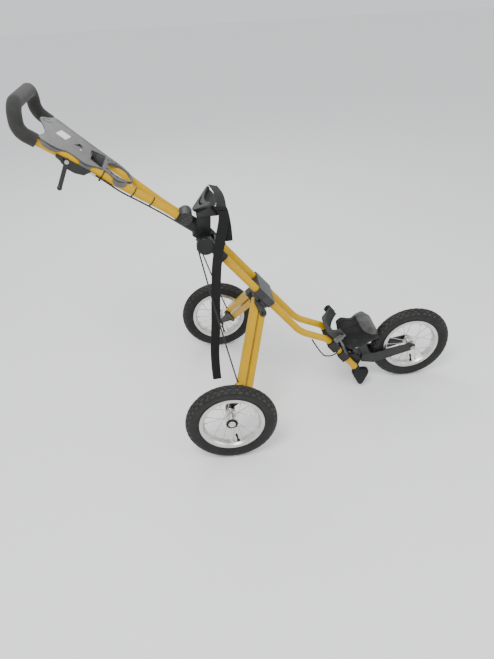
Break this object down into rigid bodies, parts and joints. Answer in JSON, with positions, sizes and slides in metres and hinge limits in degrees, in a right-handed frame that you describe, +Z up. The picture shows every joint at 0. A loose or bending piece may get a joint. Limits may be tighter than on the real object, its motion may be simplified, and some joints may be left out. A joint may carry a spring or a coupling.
{
  "type": "golf push cart",
  "caption": "Folding three-wheeled golf push cart: twin-tube frame, hinged handle with console, folding leg linkages, front fork and bag cradles.",
  "frame": {"origin": "on the floor, at the middle of the cart's overall length and width", "axes": "+X forward towards the front wheel, +Y to the cart's left, +Z up"},
  "size_m": [1.4122, 0.709, 1.1755],
  "materials": {
    "yellow_paint": "gloss",
    "black_plastic": "satin",
    "grey_plastic": "satin",
    "casting_grey": "cast",
    "black_steel": "satin",
    "fastener_steel": "plated",
    "alloy": "polished",
    "spoke_steel": "polished",
    "tyre_rubber": "worn",
    "foot_rubber": "matte",
    "grip_foam": "matte",
    "pad_fabric": "matte",
    "webbing": "woven",
    "cable_jacket": "satin"
  },
  "bodies": {
    "root": {"main_tube_left": "yellow_paint", "main_tube_right": "yellow_paint", "rubber_feet": "foot_rubber", "tube_clamps": "black_plastic", "fork_mount": "black_plastic", "leg_bracket": "casting_grey", "hinge_pins": "black_steel", "bracket_band": "grey_plastic", "frame_knuckle": "black_plastic", "pivot_bolt": "fastener_steel", "upper_cradle": "grey_plastic", "cradle_body": "black_plastic", "bag_strap": "webbing", "strap_tail": "webbing", "lower_cradle": "grey_plastic", "strap_roll": "webbing", "strap_buckle": "grey_plastic", "bag_rest_pad": "pad_fabric", "brake_cable_left": "cable_jacket", "brake_cable_right": "cable_jacket", "front_cable": "cable_jacket"},
    "handle": {"handle_tube": "yellow_paint", "foam_grip": "grip_foam", "handle_yoke": "black_plastic", "yoke_cover": "black_plastic", "yoke_screws": "fastener_steel", "console": "grey_plastic", "console_tray": "black_plastic", "brake_bracket": "black_steel", "cable_barrel": "fastener_steel", "handle_cable": "cable_jacket"},
    "brake_lever": {"brake_lever": "black_steel"},
    "knob": {"clamp_knob": "black_plastic"},
    "rear_bar_right": {"leg_rear_right": "yellow_paint"},
    "front_bar_right": {"leg_front_right": "yellow_paint"},
    "wheel_arm_right": {"wheel_mount_right": "black_steel", "mount_pins_right": "black_steel", "stub_axle_right": "fastener_steel"},
    "wheel_right": {"tyre_right": "tyre_rubber", "rim_right": "alloy", "spokes_right": "spoke_steel", "hub_right": "alloy"},
    "rear_bar_left": {"leg_rear_left": "yellow_paint"},
    "front_bar_left": {"leg_front_left": "yellow_paint"},
    "wheel_arm_left": {"wheel_mount_left": "black_steel", "mount_pins_left": "black_steel", "stub_axle_left": "fastener_steel"},
    "wheel_left": {"tyre_left": "tyre_rubber", "rim_left": "alloy", "spokes_left": "spoke_steel", "hub_left": "alloy"},
    "fork": {"fork": "black_steel", "front_axle": "fastener_steel", "front_brake": "black_steel"},
    "wheel_front": {"tyre_front": "tyre_rubber", "rim_front": "alloy", "spokes_front": "spoke_steel", "hub_front": "alloy"}
  },
  "joints": [
    {"name": "handle_fold", "type": "hinge", "parent": "root", "child": "handle", "pos_m": [-0.22085, 0, 0.695], "axis": [0, -1, 0], "range_deg": [0, 110]},
    {"name": "knob_turn", "type": "hinge", "parent": "root", "child": "knob", "pos_m": [-0.22085, -0.08, 0.695], "axis": [0, 1, 0], "range_deg": [0, 720]},
    {"name": "brake_lever_pull", "type": "hinge", "parent": "handle", "child": "brake_lever", "pos_m": [-0.58268, -0.10465, 0.99913], "axis": [-0.1692, 0.9759, 0.138], "range_deg": [0, 60]},
    {"name": "leg_fold_right", "type": "hinge", "parent": "root", "child": "rear_bar_right", "pos_m": [-0.06475, -0.042, 0.445], "axis": [-0.4964, 0.7204, -0.4844], "range_deg": [0, 95], "deforming": ["brake_cable_right", "strap_tail"]},
    {"name": "front_bar_fold_right", "type": "hinge", "parent": "root", "child": "front_bar_right", "pos_m": [-0.04765, -0.059, 0.4022], "axis": [-0.4964, 0.7204, -0.4844], "range_deg": [0, 95]},
    {"name": "wheel_arm_turn_right", "type": "hinge", "parent": "rear_bar_right", "child": "wheel_arm_right", "pos_m": [-0.1488, -0.24299, 0.23226], "axis": [-0.4964, 0.7204, -0.4844], "range_deg": [-95, 0]},
    {"name": "wheel_spin_right", "type": "hinge", "parent": "wheel_arm_right", "child": "wheel_right", "pos_m": [-0.19085, -0.332, 0.157], "axis": [0, 1, 0], "continuous": true},
    {"name": "leg_fold_left", "type": "hinge", "parent": "root", "child": "rear_bar_left", "pos_m": [-0.06475, 0.042, 0.445], "axis": [0.4964, 0.7204, 0.4844], "range_deg": [0, 95], "deforming": ["brake_cable_left"]},
    {"name": "front_bar_fold_left", "type": "hinge", "parent": "root", "child": "front_bar_left", "pos_m": [-0.04765, 0.059, 0.4022], "axis": [0.4964, 0.7204, 0.4844], "range_deg": [0, 95]},
    {"name": "wheel_arm_turn_left", "type": "hinge", "parent": "rear_bar_left", "child": "wheel_arm_left", "pos_m": [-0.1488, 0.24299, 0.23226], "axis": [0.4964, 0.7204, 0.4844], "range_deg": [-95, 0]},
    {"name": "wheel_spin_left", "type": "hinge", "parent": "wheel_arm_left", "child": "wheel_left", "pos_m": [-0.19085, 0.332, 0.157], "axis": [0, 1, 0], "continuous": true},
    {"name": "fork_fold", "type": "hinge", "parent": "root", "child": "fork", "pos_m": [0.32915, 0, 0.128], "axis": [0, 1, 0], "range_deg": [0, 130]},
    {"name": "wheel_spin_front", "type": "hinge", "parent": "fork", "child": "wheel_front", "pos_m": [0.54915, 0, 0.157], "axis": [0, 1, 0], "continuous": true}
  ],
  "couplings": [
    {"joint": "front_bar_fold_right", "follows": "leg_fold_right", "ratio": 1},
    {"joint": "wheel_arm_turn_right", "follows": "leg_fold_right", "ratio": -1},
    {"joint": "front_bar_fold_left", "follows": "leg_fold_left", "ratio": 1},
    {"joint": "wheel_arm_turn_left", "follows": "leg_fold_left", "ratio": -1}
  ]
}
